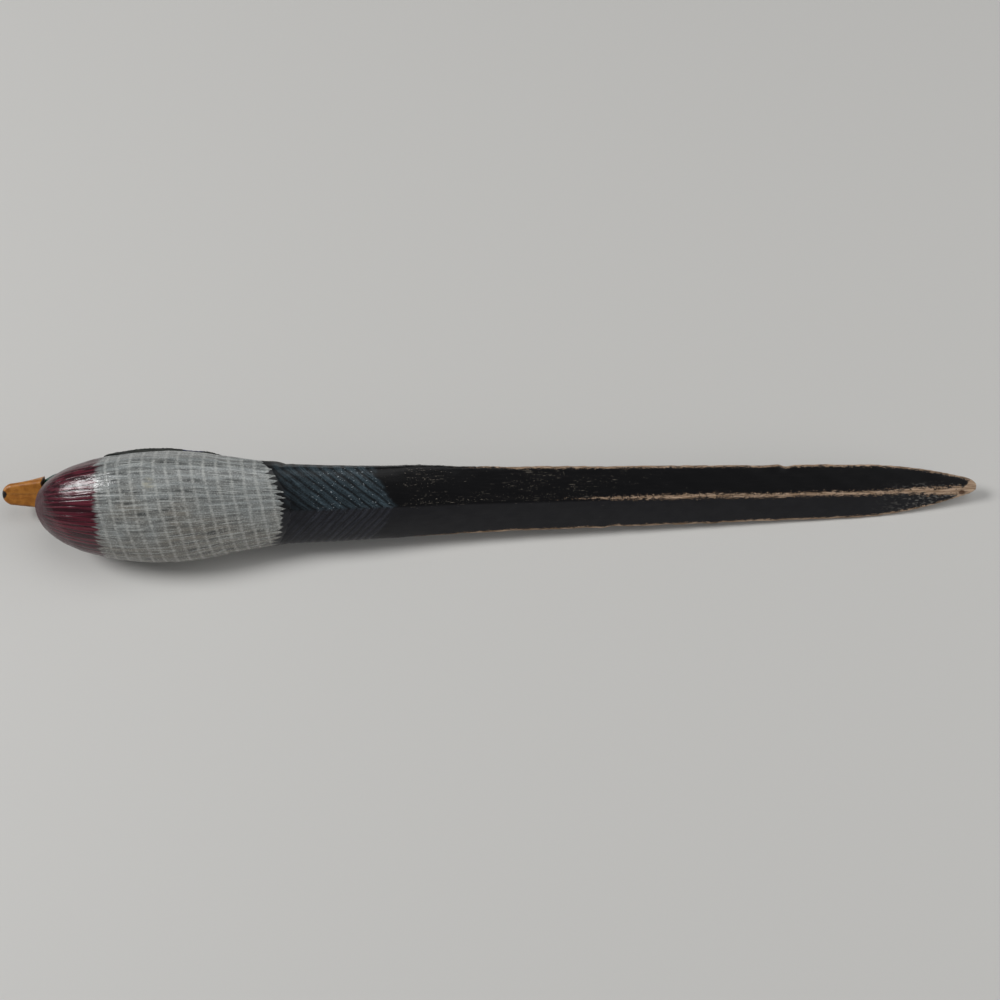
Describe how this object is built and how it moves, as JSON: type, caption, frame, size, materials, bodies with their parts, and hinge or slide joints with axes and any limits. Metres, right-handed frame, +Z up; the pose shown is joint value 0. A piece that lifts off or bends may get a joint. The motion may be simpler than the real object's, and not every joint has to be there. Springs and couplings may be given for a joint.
{
  "type": "letter opener",
  "caption": "Hand-carved wooden drake whose tail runs out into a long ridged blade, painted, lying on its side as it rests on a desk.",
  "frame": {"origin": "centre of the footprint box, on the desk", "axes": "+X from the bill towards the tip of the blade, +Z up from the desk"},
  "size_m": [0.2698, 0.0308, 0.0296],
  "materials": {
    "body_paint": "painted, satin lacquer",
    "blade_paint": "painted black, worn to bare wood on ridge and edges",
    "head_paint": "painted, satin lacquer",
    "bill_paint": "painted, satin lacquer",
    "bare_wood": "bare",
    "eye_glass": "polished",
    "wing_paint": "painted, satin lacquer"
  },
  "bodies": {
    "root": {"body": "body_paint", "blade": "blade_paint", "head": "head_paint", "bill": "bill_paint", "neck_dowel": "bare_wood", "left_eye": "eye_glass", "right_eye": "eye_glass", "left_wing": "wing_paint", "right_wing": "wing_paint"}
  },
  "joints": []
}
